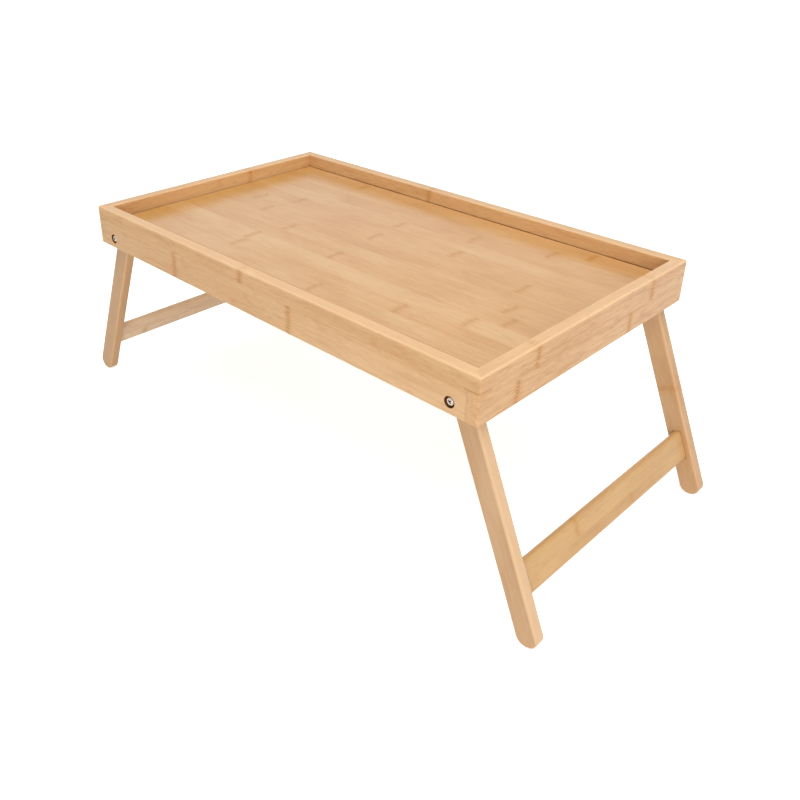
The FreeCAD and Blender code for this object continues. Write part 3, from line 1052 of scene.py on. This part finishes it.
def wing(turn):
    """One wing of the cross recess's cutter: a bar across the head that narrows downward."""
    shape = bmesh.new()
    corners = []
    for height, (half_reach, half_width) in (
        (HEAD_TOP - CUTTER_RISE, WING_TOP), (HEAD_TOP + RECESS_DEPTH, WING_BOTTOM)
    ):
        for x, y in ((-1, -1), (1, -1), (1, 1), (-1, 1)):
            place = Vector((x * half_reach * MM, y * half_width * MM, height * MM))
            corners.append(shape.verts.new(Matrix.Rotation(turn, 3, "Z") @ place))
    for face in (
        (0, 1, 2, 3), (7, 6, 5, 4), (0, 4, 5, 1), (1, 5, 6, 2), (2, 6, 7, 3), (3, 7, 4, 0)
    ):
        shape.faces.new([corners[index] for index in face])
    return finished_mesh("wing", shape)


def screw_blank():
    """A pan-head screw without its recess: head, plain shank, and a real thread at its end."""
    rows = [fixed(radius, height) for radius, height in HEAD_OUTLINE]
    rows += [fixed(SHANK_RADIUS, HEAD_SEAT), fixed(SHANK_RADIUS, THREAD_START)]
    steps = int((SCREW_TIP - THREAD_START) / THREAD_PITCH * ROWS_PER_PITCH)
    for step in range(1, steps + 1):
        rows.append(thread_row(THREAD_START + (SCREW_TIP - THREAD_START) * step / steps))
    return spun("screw_blank", rows, SCREW_SEGMENTS)


def screw_mesh():
    """The screw, with its cross recess cut into the head."""
    blank = bpy.data.objects.new("screw_blank", screw_blank())
    cutters = [bpy.data.objects.new("cutter", wing(turn)) for turn in (0.0, math.pi / 2)]
    for piece in (blank, *cutters):
        bpy.context.scene.collection.objects.link(piece)
    for cutter in cutters:
        cut = blank.modifiers.new("recess", "BOOLEAN")
        cut.operation = "DIFFERENCE"
        cut.object = cutter
    evaluated = blank.evaluated_get(bpy.context.evaluated_depsgraph_get())
    mesh = bpy.data.meshes.new_from_object(evaluated)
    for piece in (blank, *cutters):
        bpy.data.objects.remove(piece)
    mesh.name = "pivot_screw"
    mesh.set_sharp_from_angle(angle=SHARP_ANGLE)
    return mesh


def nut_mesh():
    """A hexagon nut with chamfered corners that runs up into a rounded collar."""

    def flats(angle):
        return NUT_HALF_FLATS / math.cos((angle + math.pi / 6) % (math.pi / 3) - math.pi / 6)

    def lower_edge(angle):
        return flats(angle), NUT_SEAT + (flats(angle) - NUT_FACE_RADIUS) * NUT_CHAMFER

    def upper_edge(angle):
        return flats(angle), NUT_HEX_TOP - (flats(angle) - NUT_FACE_RADIUS) * NUT_CHAMFER

    rows = [
        fixed(NUT_BORE, NUT_SEAT), fixed(NUT_FACE_RADIUS, NUT_SEAT), lower_edge, upper_edge,
        fixed(NUT_FACE_RADIUS, NUT_HEX_TOP),
    ]
    rows += [fixed(radius, height) for radius, height in COLLAR_OUTLINE]
    return spun("lock_nut", rows, NUT_SEGMENTS, closed=True)


def insert_mesh():
    """The nylon ring inside a nut's collar."""
    rows = [fixed(radius, height) for radius, height in INSERT_OUTLINE]
    return spun("nut_insert", rows, INSERT_SEGMENTS, closed=True)


def place_hardware():
    """Detailed screws and lock nuts in place of the plain ones, riding on the tray."""
    zinc_look = zinc("zinc", *ZINC_GREY)
    head_look = zinc("zinc_screw", *SCREW_GREY, recess=True)
    nylon_look = nylon()
    screw, nut, insert = screw_mesh(), nut_mesh(), insert_mesh()
    for mesh, look in ((screw, head_look), (nut, zinc_look), (insert, nylon_look)):
        mesh.materials.clear()
        mesh.materials.append(look)
    twist = 0.0
    for end, y in (("front", -HALF_WIDTH), ("back", HALF_WIDTH)):
        for side, x in (("left", -PIVOT_X), ("right", PIVOT_X)):
            corner = end + "_" + side
            twist += TWIST_STEP
            inward = Matrix.Rotation(math.radians(-90 if end == "front" else 90), 4, "X")
            seat = Matrix.Translation((x, y, PIVOT_Z)) @ inward
            for mesh, part, turn in (
                (screw, "pivot_screw", twist),
                (nut, "lock_nut", NUT_TWISTS * twist),
                (insert, "", 0.0),
            ):
                piece = bpy.data.objects.new(corner + "_" + mesh.name + "_look", mesh)
                piece.matrix_world = seat @ Matrix.Rotation(turn, 4, "Z")
                bpy.context.scene.collection.objects.link(piece)
                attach(piece, "tray")
                if part:
                    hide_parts(corner + "_" + part)
            dress(corner + "_nut_washer", zinc_look)


place_hardware()

# ---------------------------------------------------------------- stage and light

WHITE = (1.0, 1.0, 1.0, 1.0)
FLOOR_RADIUS = 15.0
FLOOR_SEGMENTS = 96
FLOOR_DROP = 0.2 * MM

# The floor's faint mottle: marks to the metre, and the tones that it lies between.
FLOOR_GRAIN = 60.0
FLOOR_TONES = (srgb(242, 242, 242), srgb(246, 246, 246))

# The floor's glow, as the camera sees it: a distance from its middle, and the strength there.
GLOW_NEAR = (0.35, 0.63)
GLOW_FAR = (1.8, 0.88)

# The share of the floor's glow that glossy surfaces show. Its lit white adds the rest.
MIRRORED_GLOW = 0.5

WORLD_LIGHT = 0.3
WORLD_SEEN = 1.0

# Each lamp's place, the point it is aimed at, its width and height, its watts, and whether glossy
# surfaces show it.
LAMPS = {
    "overhead": ((0.5, -0.3, 1.9), (0.0, 0.0, 0.2), (1.6, 1.6), 25.4, True),
    "front": ((1.7, -2.0, 0.6), (0.0, 0.0, 0.1), (2.0, 0.9), 31.5, False),
    "right": ((2.2, 0.6, 0.9), (0.0, 0.0, 0.15), (1.6, 0.9), 6.4, False),
    "back": ((-1.5, 2.0, 0.8), (0.0, 0.0, 0.15), (2.4, 1.2), 15.0, False),
    "left": ((-2.4, -0.2, 0.7), (0.0, 0.0, 0.15), (1.8, 1.0), 7.5, False),
}


def seen_share(graph, mirrored_share):
    """1 where the camera sees a thing itself, mirrored_share where metal or glass shows it, and 0
    for the light that it casts."""
    path = graph.add("ShaderNodeLightPath")
    glossy, through = path.outputs["Is Glossy Ray"], path.outputs["Is Transmission Ray"]
    mirrored = graph.math("MAXIMUM", glossy, through)
    shown = graph.math("MULTIPLY", mirrored, mirrored_share)
    return graph.math("MAXIMUM", path.outputs["Is Camera Ray"], shown)


def stage_material():
    """A white floor that takes shadows, and glows only as it is seen. From below it is clear."""
    graph = Material("floor")
    grain = graph.even_noise(FLOOR_GRAIN)
    diffuse = graph.add("ShaderNodeBsdfDiffuse")
    colour = graph.mix(graph.swing(grain, 0.0, 1.0), *FLOOR_TONES)
    graph.put(diffuse.inputs["Color"], colour)
    glow = graph.add("ShaderNodeEmission")
    from_middle = graph.vector("LENGTH", graph.place())
    lift = graph.fit(from_middle, GLOW_NEAR[0], GLOW_FAR[0], GLOW_NEAR[1], GLOW_FAR[1])
    strength = graph.math("MULTIPLY", seen_share(graph, MIRRORED_GLOW), lift)
    graph.put(glow.inputs["Strength"], strength)
    both = graph.add("ShaderNodeAddShader")
    graph.put(both.inputs[0], diffuse.outputs[0])
    graph.put(both.inputs[1], glow.outputs[0])
    clear = graph.add("ShaderNodeBsdfTransparent")
    underneath = graph.add("ShaderNodeNewGeometry").outputs["Backfacing"]
    graph.show(graph.mix_shaders(underneath, both.outputs[0], clear.outputs[0]))
    graph.material.cycles.emission_sampling = "NONE"
    return graph.material


def make_floor():
    """A round floor just under the feet."""
    mesh = bpy.data.meshes.new("floor")
    shape = bmesh.new()
    bmesh.ops.create_circle(shape, cap_ends=True, segments=FLOOR_SEGMENTS, radius=FLOOR_RADIUS)
    for face in shape.faces:
        if face.normal.z < 0:
            face.normal_flip()
    shape.to_mesh(mesh)
    shape.free()
    floor = bpy.data.objects.new("floor", mesh)
    floor.location.z = -FLOOR_DROP
    floor.data.materials.append(stage_material())
    bpy.context.scene.collection.objects.link(floor)


def area_light(name, place, aim, size, power, mirrored):
    """A soft lamp. Glossy surfaces show it only where it is mirrored."""
    data = bpy.data.lights.new(name, "AREA")
    data.shape = "RECTANGLE"
    data.size = size[0]
    data.size_y = size[1]
    data.energy = power
    lamp = bpy.data.objects.new(name, data)
    lamp.location = place
    lamp.rotation_euler = (Vector(aim) - Vector(place)).to_track_quat("-Z", "Y").to_euler()
    lamp.visible_glossy = mirrored
    bpy.context.scene.collection.objects.link(lamp)


def backdrop(graph, strength):
    """An even white light from all round."""
    node = graph.add("ShaderNodeBackground")
    graph.put(node.inputs["Color"], WHITE)
    graph.put(node.inputs["Strength"], strength)
    return node.outputs[0]


def make_world():
    """White as it is seen, and a weak even light for all else."""
    world = bpy.data.worlds.new("studio")
    bpy.context.scene.world = world
    world.use_nodes = True
    graph = Graph(world.node_tree, "ShaderNodeOutputWorld")
    cast, seen = backdrop(graph, WORLD_LIGHT), backdrop(graph, WORLD_SEEN)
    graph.show(graph.mix_shaders(seen_share(graph, 1.0), cast, seen))


make_floor()
make_world()
for lamp_name, lamp_row in LAMPS.items():
    area_light(lamp_name, *lamp_row)
bpy.context.scene.view_settings.view_transform = "Standard"
